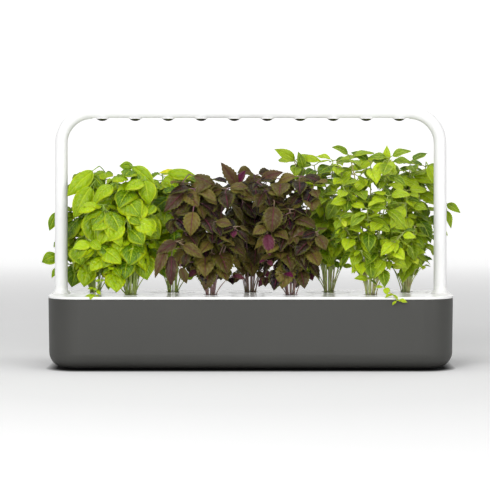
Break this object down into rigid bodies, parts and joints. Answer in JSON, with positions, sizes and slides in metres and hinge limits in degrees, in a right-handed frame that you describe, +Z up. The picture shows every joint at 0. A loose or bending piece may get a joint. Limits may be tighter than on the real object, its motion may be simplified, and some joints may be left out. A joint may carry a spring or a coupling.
{
  "type": "countertop hydroponic garden",
  "caption": "Long rounded water tub with a white lid, lift-out planted cups of basil and a removable tubular lamp arch with domed lamps.",
  "frame": {"origin": "centre of the tub's footprint on the table, where the rubber feet stand", "axes": "+X along the tub to the right as seen from the front, +Y to the back, +Z up"},
  "size_m": [0.6297, 0.186, 0.404],
  "materials": {
    "tub_grey": "satin moulded, dark grey",
    "white_plastic": "satin moulded, white",
    "white_metal": "satin white paint",
    "dark_lens": "smoked, glossy",
    "rubber": "matte",
    "black_plastic": "fine texture",
    "board": "solder-masked",
    "led_chip": "phosphor",
    "brass": "turned",
    "steel": "zinc plated",
    "wire": "sheathed",
    "float_red": "moulded",
    "soil": "moist crumbs",
    "felt": "needled felt",
    "green_leaf": "waxy, puckered",
    "purple_leaf": "waxy, serrated",
    "lime_leaf": "waxy"
  },
  "bodies": {
    "base": {"reservoir_tub": "tub_grey", "feet": "rubber", "leg_socket_left": "white_plastic", "leg_socket_right": "white_plastic", "socket_screws": "steel", "socket_contact": "brass", "electronics_box": "white_plastic", "driver_board": "board", "power_inlet": "black_plastic", "harness": "wire"},
    "lid": {"lid": "white_plastic", "float_guide": "white_plastic"},
    "rod_left": {"extension_rod_left": "white_metal"},
    "rod_right": {"extension_rod_right": "white_metal", "rod_conductor": "brass"},
    "lamp": {"lamp_arch": "white_metal", "led_board": "board", "led_chips": "led_chip", "led_bezels": "white_plastic", "led_lenses": "dark_lens", "arch_contact": "brass"},
    "float": {"water_float": "float_red"},
    "cup_1": {"cup_1": "white_plastic", "soil_plug_1": "soil", "wick_1": "felt", "plant_1": "green_leaf"},
    "cup_2": {"cup_2": "white_plastic", "soil_plug_2": "soil", "wick_2": "felt", "plant_2": "green_leaf"},
    "cup_3": {"cup_3": "white_plastic", "soil_plug_3": "soil", "wick_3": "felt", "plant_3": "green_leaf"},
    "cup_4": {"cup_4": "white_plastic", "soil_plug_4": "soil", "wick_4": "felt", "plant_4": "purple_leaf"},
    "cup_5": {"cup_5": "white_plastic", "soil_plug_5": "soil", "wick_5": "felt", "plant_5": "purple_leaf"},
    "cup_6": {"cup_6": "white_plastic", "soil_plug_6": "soil", "wick_6": "felt", "plant_6": "purple_leaf"},
    "cup_7": {"cup_7": "white_plastic", "soil_plug_7": "soil", "wick_7": "felt", "plant_7": "lime_leaf"},
    "cup_8": {"cup_8": "white_plastic", "soil_plug_8": "soil", "wick_8": "felt", "plant_8": "lime_leaf"},
    "cup_9": {"cup_9": "white_plastic", "soil_plug_9": "soil", "wick_9": "felt", "plant_9": "lime_leaf"}
  },
  "joints": [
    {"name": "lamp_lift", "type": "slide", "parent": "base", "child": "lamp", "axis": [0, 0, 1], "range_m": [0, 0.06]},
    {"name": "rod_left_lift", "type": "slide", "parent": "base", "child": "rod_left", "axis": [0, 0, 1], "range_m": [0, 0.03]},
    {"name": "rod_right_lift", "type": "slide", "parent": "base", "child": "rod_right", "axis": [0, 0, 1], "range_m": [0, 0.03]},
    {"name": "lid_lift", "type": "slide", "parent": "base", "child": "lid", "axis": [0, 0, 1], "range_m": [0, 0.035]},
    {"name": "float_rise", "type": "slide", "parent": "lid", "child": "float", "axis": [0, 0, 1], "range_m": [0, 0.04]},
    {"name": "cup_1_lift", "type": "slide", "parent": "lid", "child": "cup_1", "axis": [0, 0, 1], "range_m": [0, 0.035]},
    {"name": "cup_2_lift", "type": "slide", "parent": "lid", "child": "cup_2", "axis": [0, 0, 1], "range_m": [0, 0.035]},
    {"name": "cup_3_lift", "type": "slide", "parent": "lid", "child": "cup_3", "axis": [0, 0, 1], "range_m": [0, 0.035]},
    {"name": "cup_4_lift", "type": "slide", "parent": "lid", "child": "cup_4", "axis": [0, 0, 1], "range_m": [0, 0.035]},
    {"name": "cup_5_lift", "type": "slide", "parent": "lid", "child": "cup_5", "axis": [0, 0, 1], "range_m": [0, 0.035]},
    {"name": "cup_6_lift", "type": "slide", "parent": "lid", "child": "cup_6", "axis": [0, 0, 1], "range_m": [0, 0.035]},
    {"name": "cup_7_lift", "type": "slide", "parent": "lid", "child": "cup_7", "axis": [0, 0, 1], "range_m": [0, 0.035]},
    {"name": "cup_8_lift", "type": "slide", "parent": "lid", "child": "cup_8", "axis": [0, 0, 1], "range_m": [0, 0.035]},
    {"name": "cup_9_lift", "type": "slide", "parent": "lid", "child": "cup_9", "axis": [0, 0, 1], "range_m": [0, 0.035]}
  ],
  "couplings": [
    {"joint": "rod_left_lift", "follows": "lamp_lift", "ratio": 0.5},
    {"joint": "rod_right_lift", "follows": "lamp_lift", "ratio": 0.5}
  ]
}
